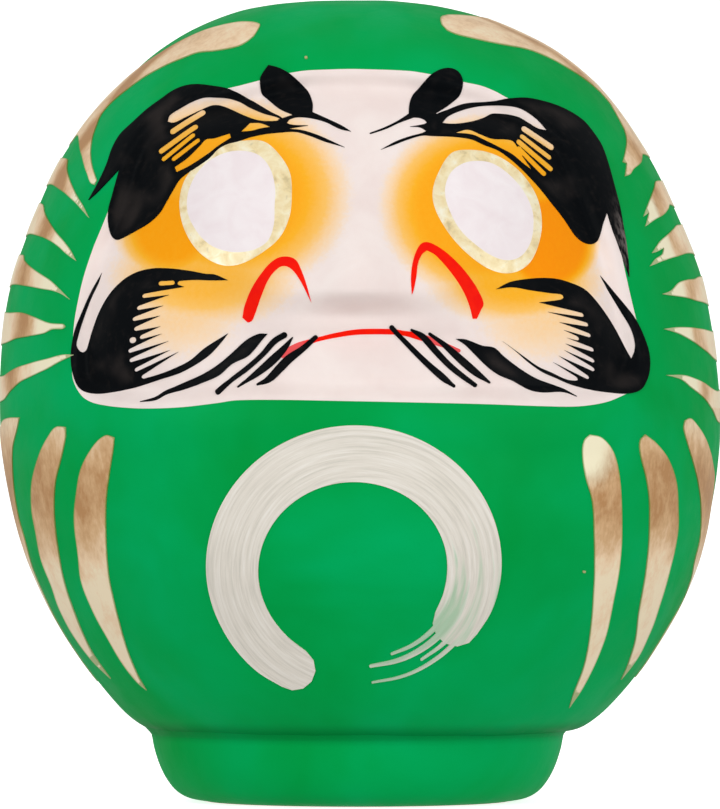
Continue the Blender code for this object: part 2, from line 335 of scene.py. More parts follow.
def flat_mesh(outlines, step):
    """Points and triangles that fill the wound outlines, with inner points in rows that are offset."""
    rim = np.concatenate(outlines)
    low, high = rim.min(axis=0), rim.max(axis=0)
    rows = np.arange(low[1], high[1], step * 0.87)
    grid = [
        (x + step / 2 * (r % 2), z) for r, z in enumerate(rows) for x in np.arange(low[0], high[0], step)
    ]
    grid = np.array(grid).reshape(-1, 2)
    distance, winding = outline_distance(grid, outlines, FILM_REACH)
    inner = grid[(winding > 0) & (distance > 0.5 * step)]
    edges, first = [], 0
    for loop in outlines:
        edges += [(first + i, first + (i + 1) % len(loop)) for i in range(len(loop))]
        first += len(loop)
    points = [Vector(p) for p in np.concatenate([rim, inner])]
    flat, _, faces = delaunay_2d_cdt(points, edges, [], 0, 1e-4)[:3]
    flat, faces = np.array([tuple(p) for p in flat]), np.array(faces)
    _, winding = outline_distance(flat[faces].mean(axis=1), outlines, FILM_REACH)
    faces = faces[winding > 0]
    used = np.unique(faces)
    renumber = np.full(len(flat), -1)
    renumber[used] = np.arange(len(used))
    return flat[used], renumber[faces]


def film(name, loops, place, height, material, holes=(), fields=None, step=FILM_STEP):
    """A closed film of paint over the skin. fields gives more values for each point, by name."""
    outlines = [wound(loop, 1) for loop in loops] + [wound(loop, -1) for loop in holes]
    flat, faces = flat_mesh(outlines, step)
    surface, normal = with_normals(place, flat)
    count = len(flat)
    sides = np.concatenate([faces[:, [0, 1]], faces[:, [1, 2]], faces[:, [2, 0]]])
    held = {tuple(pair) for pair in sides.tolist()}
    rim_sides = [(a, b) for a, b in held if (b, a) not in held]
    walls = [(b, a, a + count, b + count) for a, b in sorted(rim_sides)]
    vertices = np.concatenate([surface + normal * height, surface - normal * UNDER])
    all_faces = faces.tolist() + (faces[:, ::-1] + count).tolist() + walls
    piece = make_piece(name, vertices, all_faces, material)
    values = {"edge": outline_distance(flat, outlines, FILM_REACH)[0]}
    values.update(fields(flat) if fields else {})
    for field, value in values.items():
        attribute = piece.data.attributes.new(field, "FLOAT", "POINT")
        attribute.data.foreach_set("value", np.tile(value, 2).astype(np.float32))
    return piece


def skin(name, angles, rows, material):
    """Closed shell of one half of the body. Its hidden inner face has a fifth of the columns."""
    column, half_width = np.meshgrid(angles, rows[:, 0])
    z = np.meshgrid(angles, rows[:, 1])[1]
    outer = body_point(column, half_width, z)
    outer[:, (0, -1), 1] = 0.0
    towards = BODY_CENTRE - outer
    inner = (outer + towards / np.linalg.norm(towards, axis=-1, keepdims=True) * WALL)[:, ::5]
    vertices, faces, numbers = [], [], []
    for grid in (outer, inner):
        first = len(vertices)
        vertices += [grid[0, 0]] + list(grid[1:].reshape(-1, 3))
        below = first + 1 + np.arange(grid[1:, :, 0].size).reshape(len(grid) - 1, -1)
        numbers.append(np.concatenate([np.full((1, below.shape[1]), first), below]))
    for grid, order in zip(numbers, (1, -1)):
        corners = [grid[:-1, :-1], grid[1:, :-1], grid[1:, 1:], grid[:-1, 1:]]
        faces += [f[::order] for f in np.stack(corners, axis=-1).reshape(-1, 4).tolist()]
    out, back = numbers
    for side, order in ((0, 1), (-1, -1)):
        strip = [out[:-1, side], back[:-1, side], back[1:, side], out[1:, side]]
        faces += [f[::order] for f in np.stack(strip, axis=-1).tolist()]
    faces.append(out[-1].tolist()[::-1] + back[-1].tolist())
    faces = [list(dict.fromkeys(f)) for f in faces]
    piece = make_piece(name, vertices, faces, material, sharp=50.0)
    return piece


def turned(name, profile, steps, material, wobble=0.0):
    """Solid of revolution about Z from (radius, height) pairs that start and end on the axis."""
    angles = np.linspace(0, math.tau, steps, endpoint=False)
    waves = np.sin(2 * angles + 0.6) + 0.6 * np.sin(3 * angles + 2.0) + 0.3 * np.sin(7 * angles)
    uneven = 1 + wobble * waves
    vertices = [(0, 0, profile[0][1])]
    for radius, z in profile[1:-1]:
        vertices += [(radius * u * math.sin(a), -radius * u * math.cos(a), z) for a, u in zip(angles, uneven)]
    vertices.append((0, 0, profile[-1][1]))
    rings = [1 + steps * r + np.arange(steps) for r in range(len(profile) - 2)]
    faces = [(0, b, a) for a, b in zip(rings[0], np.roll(rings[0], -1))]
    for low, high in zip(rings, rings[1:]):
        faces += list(zip(low, np.roll(low, -1), np.roll(high, -1), high))
    faces += [(a, b, len(vertices) - 1) for a, b in zip(rings[-1], np.roll(rings[-1], -1))]
    return make_piece(name, vertices, [[int(i) for i in f] for f in faces], material, sharp=45.0)


# ---- Materials --------------------------------------------------------------------------------
class Paint:
    """A Principled material and short ways to add the nodes that drive it."""

    def __init__(self, name, **constants):
        self.material = bpy.data.materials.new(name)
        self.material.use_nodes = True
        self.tree = self.material.node_tree
        self.shader = self.tree.nodes["Principled BSDF"]
        for socket, value in constants.items():
            self.shader.inputs[socket.replace("_", " ")].default_value = value
        coordinates = self.tree.nodes.new("ShaderNodeTexCoord")
        self.place = coordinates.outputs["Object"]

    def _fill(self, socket, value):
        if isinstance(value, bpy.types.NodeSocket):
            self.tree.links.new(value, socket)
        elif isinstance(value, tuple) and len(value) == 3 and socket.type == "RGBA":
            socket.default_value = (*value, 1.0)
        else:
            socket.default_value = value

    def math(self, operation, *values, clamp=False):
        node = self.tree.nodes.new("ShaderNodeMath")
        node.operation = operation
        node.use_clamp = clamp
        for socket, value in zip(node.inputs, values):
            self._fill(socket, value)
        return node.outputs[0]

    def attribute(self, name):
        node = self.tree.nodes.new("ShaderNodeAttribute")
        node.attribute_name = name
        return node.outputs["Fac"]

    def height(self):
        """Height over the floor, in millimetres."""
        node = self.tree.nodes.new("ShaderNodeSeparateXYZ")
        self.tree.links.new(self.place, node.inputs[0])
        return self.math("MULTIPLY", node.outputs["Z"], 1 / MM)

    def noise(self, size, detail=3.0, roughness=0.5, distortion=0.0, stretch=(1, 1, 1), vector=None):
        """Noise whose grain is about that many millimetres."""
        mapping = self.tree.nodes.new("ShaderNodeMapping")
        self.tree.links.new(vector or self.place, mapping.inputs["Vector"])
        mapping.inputs["Scale"].default_value = stretch
        node = self.tree.nodes.new("ShaderNodeTexNoise")
        self.tree.links.new(mapping.outputs[0], node.inputs["Vector"])
        node.inputs["Scale"].default_value = 1 / (size * (MM if vector is None else 1))
        node.inputs["Detail"].default_value = detail
        node.inputs["Roughness"].default_value = roughness
        node.inputs["Distortion"].default_value = distortion
        return node.outputs["Fac"]

    def between(self, value, low, high, out_low=0.0, out_high=1.0):
        """value moved smoothly from low..high to out_low..out_high."""
        node = self.tree.nodes.new("ShaderNodeMapRange")
        node.interpolation_type = "SMOOTHSTEP"
        self._fill(node.inputs["Value"], value)
        node.inputs["From Min"].default_value = low
        node.inputs["From Max"].default_value = high
        node.inputs["To Min"].default_value = out_low
        node.inputs["To Max"].default_value = out_high
        return node.outputs[0]

    def mix(self, factor, a, b):
        node = self.tree.nodes.new("ShaderNodeMix")
        node.data_type = "RGBA"
        self._fill(node.inputs[0], factor)
        self._fill(node.inputs[6], a)
        self._fill(node.inputs[7], b)
        return node.outputs[2]

    def ramp(self, factor, *stops):
        node = self.tree.nodes.new("ShaderNodeValToRGB")
        self._fill(node.inputs[0], factor)
        while len(node.color_ramp.elements) < len(stops):
            node.color_ramp.elements.new(0.5)
        for element, (position, colour) in zip(node.color_ramp.elements, stops):
            element.position = position
            element.color = (*colour, 1.0)
        return node.outputs[0]

    def bump(self, *layers):
        """Layers of (height field, millimetres high)."""
        normal = None
        for field, height in layers:
            node = self.tree.nodes.new("ShaderNodeBump")
            node.inputs["Distance"].default_value = height * MM
            self.tree.links.new(field, node.inputs["Height"])
            if normal:
                self.tree.links.new(normal, node.inputs["Normal"])
            normal = node.outputs[0]
        self.drive(Normal=normal)

    def drive(self, **links):
        for socket, value in links.items():
            self.tree.links.new(value, self.shader.inputs[socket.replace("_", " ")])


def srgb(red, green, blue):
    """Linear colour of an 8-bit screen colour."""
    shares = (red / 255, green / 255, blue / 255)
    return tuple(v / 12.92 if v <= 0.04045 else ((v + 0.055) / 1.055) ** 2.4 for v in shares)


def green_lacquer(name, tone=1.0):
    """Cloudy green lacquer, with painted shade: a darker band round the crease where the body meets the foot.
    """
    paint = Paint(name, Specular_IOR_Level=0.02)
    shades = [tuple(tone * v for v in srgb(*c)) for c in ((0, 156, 66), (0, 166, 80), (0, 176, 98))]
    cloud = paint.noise(42, 3, 0.5, 0.3)
    colour = paint.ramp(cloud, (0.3, shades[0]), (0.5, shades[1]), (0.72, shades[2]))
    speck = paint.between(paint.noise(1.3, 4, 0.7), 0.62, 0.75)
    colour = paint.mix(paint.math("MULTIPLY", speck, 0.1), colour, srgb(0, 132, 62))
    # painted shade: the green darkens in a band round the crease of the body and the foot, where shade falls
    from_shaded_crease = paint.math("ABSOLUTE", paint.math("SUBTRACT", paint.height(), FOOT_TOP + 1.2))
    colour = paint.mix(paint.between(from_shaded_crease, 0.3, 3.2, 0.45, 0.0), colour, srgb(0, 112, 46))
    paint.drive(Base_Color=colour, Roughness=paint.between(paint.noise(9, 4, 0.6), 0.3, 0.7, 0.42, 0.56))
    paint.bump(
        (paint.noise(4.5, 4, 0.55, 0.3), 0.1), (paint.noise(0.9, 3, 0.6), 0.018),
        (paint.noise(2.2, 3, 0.5, 0.5, (1, 1, 0.25)), 0.03),
    )
    return paint.material


def face_white():
    """Pinkish white, under an orange airbrush where the field "blush" says."""
    paint = Paint("face_white", Roughness=0.62, Specular_IOR_Level=0.08)
    cloud = paint.noise(16, 4, 0.55, 0.5)
    white = paint.ramp(cloud, (0.3, srgb(241, 224, 219)), (0.7, srgb(248, 236, 231)))
    grain = paint.math("MULTIPLY_ADD", paint.noise(1.1, 3, 0.6), 0.16, -0.08)
    blush = paint.math("ADD", paint.attribute("blush"), grain)
    orange = paint.ramp(
        paint.math("MULTIPLY", blush, 0.75), (0.0, srgb(246, 231, 222)), (0.16, srgb(251, 219, 182)),
        (0.36, srgb(254, 198, 104)), (0.6, srgb(254, 181, 40)), (0.8, srgb(255, 163, 4)),
        (1.0, srgb(254, 142, 0)),
    )
    colour = paint.mix(paint.between(blush, 0.0, 0.16), white, orange)
    paint.drive(Base_Color=colour)
    paint.bump(
        (paint.noise(5, 4, 0.55, 0.3), 0.1), (paint.noise(0.8, 3, 0.6), 0.015),
        (paint.noise(1.4, 3, 0.5, 0.4, (1, 1, 0.2)), 0.03),
    )
    return paint.material


def black_ink():
    """Brushed ink: near black, thinned to a warm brown in soft patches away from the outline."""
    paint = Paint("black_ink", Specular_IOR_Level=0.035)
    thin = paint.between(paint.noise(14, 2, 0.45, 0.2), 0.5, 0.74)
    pooled = paint.between(paint.attribute("edge"), 0.3, 2.2)
    wash = paint.math("MULTIPLY", thin, pooled)
    colour = paint.mix(wash, srgb(7, 10, 13), srgb(42, 38, 37))
    streak = paint.between(paint.noise(1.1, 3, 0.55, 0.1, (0.35, 1, 0.6)), 0.5, 0.8)
    colour = paint.mix(paint.math("MULTIPLY", streak, 0.14), colour, srgb(62, 54, 50))
    bristles = paint.between(paint.noise(1.2, 2, 0.5, 0.0, (1.5, 1, 0.12)), 0.36, 0.66)
    colour = paint.mix(paint.math("MULTIPLY", bristles, paint.attribute("dry")), colour, srgb(118, 110, 106))
    paint.drive(Base_Color=colour, Roughness=paint.between(wash, 0.0, 1.0, 0.42, 0.6))
    paint.bump((paint.noise(1.2, 3, 0.6, 0.2, (0.4, 1, 0.4)), 0.02))
    return paint.material


def red_paint():
    """Bright red that lets the white through where the field "thin" says."""
    paint = Paint("red_paint", Specular_IOR_Level=0.04)
    thin = paint.attribute("thin")
    cloud = paint.between(paint.noise(4, 3, 0.55, 0.4), 0.35, 0.7)
    colour = paint.mix(cloud, srgb(255, 28, 4), srgb(248, 20, 10))
    colour = paint.mix(thin, colour, srgb(226, 108, 112))
    paint.drive(Base_Color=colour, Roughness=paint.between(cloud, 0.0, 1.0, 0.42, 0.55))
    paint.bump((paint.noise(1.0, 3, 0.6, 0.2), 0.025))
    return paint.material


def gold_paint():
    """Champagne gold, browner or paler where its fields say, with a thin yellow-green edge."""
    paint = Paint("gold_paint", Metallic=0.12, Specular_IOR_Level=0.12)
    cloud = paint.noise(6, 4, 0.6, 0.3, (1, 1, 0.7))
    grain = paint.noise(1.0, 3, 0.65, 0.0, (1, 1, 0.45))
    # on the side strips the brown field includes a painted dark reflection near the edge of the front view
    tone = paint.math("ADD", paint.attribute("brown"), paint.math("MULTIPLY_ADD", cloud, 1.1, -0.55))
    tone = paint.math("ADD", tone, paint.math("MULTIPLY_ADD", grain, 0.5, -0.25))
    colour = paint.ramp(
        tone, (0.0, srgb(252, 234, 200)), (0.25, srgb(247, 216, 178)), (0.6, srgb(222, 182, 136)),
        (0.95, srgb(192, 144, 96)),
    )
    pale = paint.math("SUBTRACT", paint.attribute("pale"), paint.math("MULTIPLY", grain, 0.3))
    colour = paint.mix(paint.between(pale, 0.0, 0.7), colour, srgb(255, 246, 212))
    edge = paint.between(paint.attribute("edge"), 0.0, 0.35, 0.6, 0.0)
    colour = paint.mix(edge, colour, srgb(104, 150, 48))
    paint.drive(Base_Color=colour, Roughness=paint.between(cloud, 0.3, 0.7, 0.52, 0.4))
    paint.bump((grain, 0.02), (paint.noise(5, 3, 0.5), 0.05))
    return paint.material


def pale_gold():
    """Gold of the eye rings: dabbed on in short pale touches."""
    paint = Paint("pale_gold", Metallic=0.2, Specular_IOR_Level=0.2)
    dab = paint.noise(3.6, 3, 0.55, 0.4)
    colour = paint.ramp(
        dab, (0.28, srgb(216, 196, 150)), (0.42, srgb(242, 222, 172)), (0.56, srgb(250, 236, 196)),
        (0.72, srgb(255, 250, 226)),
    )
    smudge = paint.between(paint.noise(1.6, 3, 0.6, 0.4), 0.6, 0.74)
    colour = paint.mix(paint.math("MULTIPLY", smudge, 0.35), colour, srgb(190, 178, 146))
    paint.drive(Base_Color=colour, Roughness=paint.between(dab, 0.3, 0.7, 0.5, 0.36))
    paint.bump((paint.noise(1.1, 3, 0.6, 0.3), 0.03))
    return paint.material


def eye_white():
    paint = Paint("eye_white", Roughness=0.6, Specular_IOR_Level=0.08)
    cloud = paint.noise(7, 4, 0.55, 0.6)
    colour = paint.ramp(cloud, (0.35, srgb(242, 230, 232)), (0.7, srgb(248, 240, 241)))
    paint.drive(Base_Color=colour)
    paint.bump((paint.noise(1.5, 4, 0.6, 0.3), 0.03))
    return paint.material


def motif_white():
    """Off-white paint laid with a wide brush, thin enough in places for the green to show through."""
    paint = Paint("motif_white", Roughness=0.6, Specular_IOR_Level=0.12)
    flow = paint.tree.nodes.new("ShaderNodeCombineXYZ")
    paint.tree.links.new(paint.attribute("along"), flow.inputs[0])
    paint.tree.links.new(paint.attribute("across"), flow.inputs[1])
    streak = paint.noise(0.8, 4, 0.65, 0.1, (0.045, 1, 1), flow.outputs[0])
    broad = paint.noise(3.0, 3, 0.6, 0.2, (0.08, 1, 1), flow.outputs[0])
    colour = paint.ramp(
        streak, (0.3, srgb(210, 205, 193)), (0.5, srgb(230, 223, 211)), (0.7, srgb(241, 236, 227)),
    )
    dry = paint.math("MULTIPLY_ADD", paint.attribute("dry"), 0.42, paint.math("SUBTRACT", broad, 0.7))
    dry = paint.math("ADD", dry, paint.math("MULTIPLY", streak, 0.35))
    colour = paint.mix(paint.between(dry, 0.22, 0.46, 0.0, 0.6), colour, srgb(120, 190, 140))
    paint.drive(Base_Color=colour)
    paint.bump((streak, 0.12), (paint.noise(1.2, 3, 0.6), 0.02))
    return paint.material


def fibrous(name, dark, light, grain):
    """Paper or card: short fibres over a cloudy ground."""
    paint = Paint(name, Roughness=0.85, Specular_IOR_Level=0.2)
    cloud = paint.noise(9, 4, 0.6)
    fibre = paint.noise(grain, 4, 0.7, 1.5, (1, 0.3, 1))
    colour = paint.mix(cloud, srgb(*dark), srgb(*light))
    colour = paint.mix(paint.between(fibre, 0.5, 0.8, 0.0, 0.4), colour, srgb(*(v * 0.7 for v in dark)))
    paint.drive(Base_Color=colour)
    paint.bump((fibre, 0.05), (paint.noise(3, 4, 0.6), 0.08))
    return paint.material


def fired_clay():
    paint = Paint("fired_clay", Roughness=0.9, Specular_IOR_Level=0.2)
    cloud = paint.noise(8, 5, 0.65, 0.4)
    colour = paint.ramp(cloud, (0.3, srgb(128, 74, 52)), (0.7, srgb(178, 116, 84)))
    pits = paint.between(paint.noise(1.2, 3, 0.6), 0.6, 0.7)
    colour = paint.mix(paint.math("MULTIPLY", pits, 0.5), colour, srgb(84, 48, 36))
    paint.drive(Base_Color=colour)
    paint.bump((pits, -0.15), (paint.noise(4, 4, 0.6), 0.3))
    return paint.material


# ---- The body ---------------------------------------------------------------------------------
def make_body(green):
    """Both halves of the lacquered body, with more rows beside the face."""
    beside_face = smoothstep((192 - PROFILE[:, 1]) / 12) * smoothstep((PROFILE[:, 1] - 88) / 12)
    rows = spaced(PROFILE, BODY_ROWS, 1 + 1.6 * beside_face)
    rows[0, 0] = 0.0
    side = np.linspace(math.pi / 2, FACE_HALF_ANGLE, SIDE_COLUMNS, endpoint=False)
    face = np.linspace(-FACE_HALF_ANGLE, FACE_HALF_ANGLE, FACE_COLUMNS)
    front = np.concatenate([-side, face, side[::-1]])
    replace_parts(skin("front_skin", front, rows, green), "front_shell")
    back = np.linspace(math.pi / 2, 1.5 * math.pi, BACK_COLUMNS)
    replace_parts(skin("back_skin", back, rows, green), "back_shell")


def make_foot(green):
    """The foot tray. Its lacquer fills the joint with the body and laps over the edge of the base paper."""
    low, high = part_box("foot_tray")
    paper_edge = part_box("base_paper")[1].x / MM
    bottom, rim, radius = low.z / MM, high.z / MM, high.x / MM
    outer = curve_through(
        [
            (paper_edge + 0.5, 0.1), (42.6, 0.9), (45.6, 2.7), (47.9, 5.6), (49.6, 9), (50.9, 13),
            (radius - 0.2, rim - 0.9), (radius + 0.2, rim + 0.1), (radius + 2.4, rim + 2.4),
        ],
        6,
    )
    inside = radius - WALL
    inner = [(radius - 1.5, rim + 1.2), (inside, rim - 0.3), (inside - 0.2, 9.0), (44.5, bottom + WALL)]
    underside = [(0, bottom), (paper_edge + 0.3, bottom), (paper_edge + 0.3, 0.15)]
    profile = underside + [tuple(p) for p in outer] + inner + [(0, bottom + WALL)]
    tray = turned("foot_tray_skin", profile, FOOT_COLUMNS, green, FOOT_WOBBLE)
    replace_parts(tray, "foot_tray")


def dress_inner_pieces():
    """The hidden paper, card and clay keep their CAD shapes and only get a material."""
    kraft = fibrous("kraft_paper", (150, 118, 84), (190, 158, 118), 0.9)
    card = fibrous("grey_card", (140, 132, 120), (172, 164, 150), 0.6)
    clay = fired_clay()
    for node, material in (
        ("seam_strip", kraft), ("base_paper", kraft), ("mouth_disc", card), ("foot_lid", card),
        ("foot_weight", clay),
    ):
        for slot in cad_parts[node].material_slots:
            slot.material = material


# ---- The face ---------------------------------------------------------------------------------
# Orange airbrush: (x, z, half width, half height, strength, share of the half size over which it fades).
BLUSH = [
    (-32, 150, 24, 20, 0.95, 0.75), (-46, 142, 11.5, 11, 1.05, 0.75), (-38, 130, 17, 9, 0.7, 1.3),
    (-44, 122, 12, 9, 0.3, 1.6), (-42, 158, 9, 6, 0.8, 1.1), (31, 147, 22, 19.5, 0.95, 0.6),
    (46, 139, 11, 12, 1.25, 0.5), (38, 129, 16, 8, 0.8, 1.2), (44, 121, 12, 9, 0.3, 1.6),
]


def face_fields(flat):
    """Strength of the orange airbrush round the eyes."""
    x, z = flat[:, 0], flat[:, 1]
    blush = 0 * x
    for centre_x, centre_z, half_width, half_height, strength, fade in BLUSH:
        reach = np.hypot((x - centre_x) / half_width, (z - centre_z) / half_height)
        blush = np.maximum(blush, strength * (1 - smoothstep((reach - 1 + fade / 2) / fade)))
    return {"blush": blush}


LEFT_BROW = [
    (-19.4, 169.3), (-21.5, 170.4), (-24.5, 172.3), (-27.5, 174.3), (-29.9, 175.7), (-32.9, 176.8),
    (-36.3, 177.4), (-40.3, 177.8), (-43.3, 177.4), (-46.2, 176.1), (-49.1, 174), (-52.6, 171.4),
    (-56, 168.3), (-59, 165.3), (-60.9, 161.9), (-62.1, 158.4), (-63.1, 156), (-64.8, 152.5),
    (-66.6, 149.3), (-64.8, 150.8), (-62.8, 152.8), (-60.3, 155.4), (-59, 156.8), (-59.8, 153.9),
    (-60.7, 150.4), (-61.7, 146.5), (-61.7, 143), (-61, 140.6), (-59.7, 139.4), (-58.3, 139.7),
    (-54.8, 141.5), (-51.4, 143.6), (-48.9, 146), (-47.3, 148.7), (-45.5, 151.8), (-44, 154.1),
    (-42, 155.7), (-39.1, 157.5), (-36.6, 159.3), (-34.7, 161.3), (-32.7, 162.5), (-29.8, 163.3),
    (-26.9, 164.3), (-23.4, 165), (-19.5, 165.4), (-15.6, 165.5), (-12.2, 164.5), (-8.8, 163.2),
    (-3.7, 161.7), (-8.6, 164), (-11.7, 165.2), (-14.6, 166), (-17.6, 166.3), (-12.7, 167.1),
    (-17.4, 167.5),
]
LEFT_BROW_BLOB = [
    (-22.4, 182.3), (-19.6, 181.5), (-17.1, 180.1), (-14.7, 178.2), (-12.7, 175.8), (-11.6, 172.9),
    (-11.6, 170.5), (-7.8, 168.7), (-4.4, 167), (-2.2, 165.6), (-4.9, 166.2), (-8.3, 167.9),
    (-11.7, 168.9), (-15.1, 169.2), (-17.3, 168.6), (-17.9, 167.7), (-19.8, 167.5), (-20, 168.6),
    (-16.4, 169.8), (-19.6, 171.3), (-22, 173.3), (-24, 175.3), (-24.5, 177.4), (-24.4, 179.2),
    (-23.5, 180.8),
]
LEFT_BROW_GAPS = [
    smooth_loop([
        (-47.2, 168.6), (-46.7, 170.1), (-44.2, 171.8), (-41.2, 173.5), (-38.3, 174.5), (-35.8, 174.6),
        (-32.4, 174.4), (-29.9, 173.6), (-27, 171.8), (-23.5, 170.2), (-20.5, 169.3), (-18.9, 168.5),
        (-21.5, 168.2), (-24.9, 168.5), (-28.4, 169.8), (-31.4, 171.3), (-34.3, 172.6), (-36.3, 172.7),
        (-39.2, 171.4), (-42.6, 169.6), (-45.6, 168.2),
    ]),
    bar((-45.8, 166), (-38.6, 170.7), 1.5),
    bar((-48.6, 161.2), (-40.3, 167), 1.4),
    bar((-48, 159.2), (-40.8, 164.9), 1.1),
    bar((-45.5, 159.2), (-39.6, 163.6), 1.1),
    smooth_loop([
        (-45.3, 157.2), (-42.1, 159.4), (-39.1, 162.3), (-37.6, 163.9), (-35.7, 164.1), (-33.7, 164.7),
        (-31.8, 165.3), (-31.5, 164.2), (-34.7, 162.1), (-36.6, 160.6), (-39.1, 158.9), (-42, 157.2),
        (-44.8, 155.9),
    ]),
    smooth_loop(
        [(-29.1, 165.7), (-26.9, 167.9), (-24.4, 167.8), (-21.8, 166.8), (-24.4, 166.4), (-26.4, 165.9)], 40
    ),
]
RIGHT_BROW = [
    (18.6, 170), (21.5, 171.2), (24.5, 172.4), (27.4, 173.1), (30.4, 173.4), (33.3, 173.6), (36.2, 174),
    (40.2, 174.3), (43.2, 174), (47.2, 173.1), (51.2, 171.5), (54.7, 169.2), (57.1, 166.5), (59.4, 163.1),
    (61, 158.6), (62.5, 153.2), (63.8, 148.2), (64.6, 143.2), (65.3, 138.2), (65.7, 133.8), (65.8, 130.3),
    (64.8, 133.3), (63.4, 137.7), (61.8, 142.2), (60.6, 146.2), (59.9, 144.2), (59.2, 141.2),
    (58.4, 139.3), (56.9, 138.4), (54.9, 138.7), (52.9, 140.1), (51.4, 142.1), (49.5, 145), (46.6, 148.8),
    (43.7, 152.5), (41.2, 155.2), (39.2, 157.1), (36.7, 159.2), (33.8, 161.2), (30.3, 162.6),
    (27.4, 163.9), (23.5, 164.5), (17.6, 164.7), (15.2, 164.8), (11.7, 163.8), (8.3, 162.4), (5.1, 161.2),
    (8.8, 163.3), (12.2, 164.6), (15.2, 165.4), (16.2, 165.9), (14.7, 166.8), (12.2, 167), (14.7, 167.4),
    (16.1, 167.8),
]
RIGHT_BROW_BLOB = [
    (19.6, 181.1), (22, 181.5), (24, 180.7), (25.1, 178.7), (25, 176.4), (24, 174.4), (21.5, 172.2),
    (18.6, 170.3), (19.6, 168), (19, 165.8), (16.8, 165.8), (16.2, 168.2), (14.7, 169.1), (11.9, 169.3),
    (12, 172), (12.7, 174.5), (14.7, 177.1), (17.1, 179.6),
]
RIGHT_BROW_GAPS = [
    smooth_loop([
        (20.1, 167.9), (21.5, 169.5), (24.5, 170.9), (28.4, 172), (32.3, 172.5), (36.2, 172.3),
        (39.2, 171.6), (42.1, 170), (44.1, 168.4), (45.8, 166.5), (43.6, 167), (41.1, 168.4),
        (39.2, 169.5), (37.2, 170.1), (35.3, 170.4), (32.3, 170.3), (30.4, 169.3), (27.9, 168.4),
        (24.5, 167.8), (22, 167.7),
    ]),
    bar((40.2, 166.5), (46.8, 162.3), 1.6),
    bar((39.6, 164.6), (46.3, 159.7), 1.2),
    bar((38.8, 163.3), (46.6, 156.9), 1.3),
    bar((38.8, 161.7), (45, 155.7), 1.2),
    smooth_loop([
        (23.2, 165.5), (26.4, 166.3), (29.4, 165.2), (32.3, 164.1), (35.7, 163.9), (37.5, 163.4),
        (39.2, 160.7), (42.1, 156.6), (39.7, 158.3), (37.2, 160.3), (34.2, 161.9), (30.8, 163.6),
        (27.4, 165.1),
    ]),
]
DRY_TAIL = (65.3, 141, 2.4, 9)  # where the right brow runs dry: x, z, half width, half height
LEFT_WHISKER_EDGE = [
    (-48.6, 106.5), (-44.9, 107.9), (-41.2, 109.8), (-37.6, 112.9), (-32, 116.4), (-33.4, 114.5),
    (-37, 110.7), (-43, 107), (-48.6, 105.1), (-54.2, 103.3), (-59.3, 102.1), (-64.4, 101.6), (-68, 102.6),
    (-69.8, 105.5), (-70.6, 110.7), (-69.9, 116.6), (-68.4, 121), (-66, 126.4), (-63.1, 131.3),
    (-63.9, 128.8), (-66, 124.4), (-68, 119), (-69.3, 114.2), (-69.1, 112.9), (-67.9, 111.8),
    (-66.7, 112.6), (-65.3, 117.2), (-63.5, 121.8), (-60.7, 126.5), (-57.4, 129.7), (-54.2, 131.4),
    (-50.5, 132.2), (-46.3, 132.2), (-41.2, 131.6), (-37.5, 130.9), (-35.2, 130.7), (-32, 129.3),
    (-36.5, 129.3), (-40.3, 129.4), (-44, 129.1), (-44.4, 128.4), (-43.6, 128),
]
LEFT_TIPS = [
    (-42.8, 127.7), (-46.4, 125.7), (-47.8, 123.1), (-48.6, 120.7), (-48.5, 118.1), (-48.2, 116.3),
    (-46.5, 114.5), (-46.1, 112.3), (-44, 111.9),
]
LEFT_ROOTS = [
    (-53, 125.4), (-54.3, 122.5), (-55.3, 119.8), (-54.9, 117.4), (-53.5, 115.4), (-56.3, 112.1),
    (-56, 109.8), (-54.7, 107.5), (-53, 105.8),
]
RIGHT_WHISKER_EDGE = [
    (50.2, 105.2), (46.4, 106.9), (43.2, 108.3), (39.9, 110.6), (34.6, 114.4), (37.6, 112.1),
    (40.8, 109.3), (44.1, 107), (47.3, 105.6), (51, 104), (55.7, 102.6), (60.3, 101.9), (65, 101.7),
    (68.3, 102.6), (70, 105), (70.8, 108), (70.7, 111.5), (69.7, 115), (67.7, 119.3), (65, 123.2),
    (61.6, 127.4), (58.7, 130.6), (60.5, 127.2), (63.4, 122.5), (66.1, 117.9), (67.2, 114.2), (67.1, 112),
    (66.4, 110.3), (64.5, 113.5), (62.2, 117.7), (59.9, 121.4), (57.5, 124.6), (54.8, 127.2),
    (51.5, 128.7), (47.8, 129.7), (43.6, 129.9), (39.4, 129.5), (36.2, 128.8), (33, 127.1), (37, 127.6),
    (41.5, 126.9), (46.4, 126.2), (49, 125.9), (49.6, 125.2), (48.8, 124.6),
]
RIGHT_TIPS = [
    (43.6, 123.9), (45.7, 121.6), (48.5, 119.1), (49.6, 117.2), (50.3, 115.3), (49.9, 113.9),
    (49.6, 112.3), (48.3, 110.9), (46.8, 109.4),
]
RIGHT_ROOTS = [
    (54.5, 120.7), (55.6, 118.4), (56.2, 115.8), (53.3, 115), (56.9, 112.3), (57, 109.6), (57, 107.5),
    (55.6, 105.6), (52.9, 105.2),
]
LONG_WHISKERS = [
    [
        (-22.4, 116.3), (-24.5, 116.3), (-27.3, 114.9), (-31, 111.6), (-34.2, 108.9), (-37.9, 106.5),
        (-43, 104.2), (-46.8, 102.4), (-49.5, 100.7), (-53.3, 99.6), (-49.5, 100), (-46.8, 101.4),
        (-42.6, 102.6), (-38.4, 104.2), (-34.2, 106.1), (-31, 108.9), (-27.3, 110.7), (-25.4, 112.6),
        (-23.6, 114.9),
    ],
    [
        (23.2, 115), (25.5, 114.9), (29.7, 113.3), (32.5, 112.8), (34.8, 110.7), (38.5, 107.9),
        (42.7, 105.4), (48.3, 103.3), (52.6, 100.9), (49.2, 102), (44.1, 101.9), (40.8, 102.6),
        (37.1, 104.7), (33.4, 106.3), (30.6, 108.4), (27.8, 111.2), (25.5, 113.5),
    ],
]
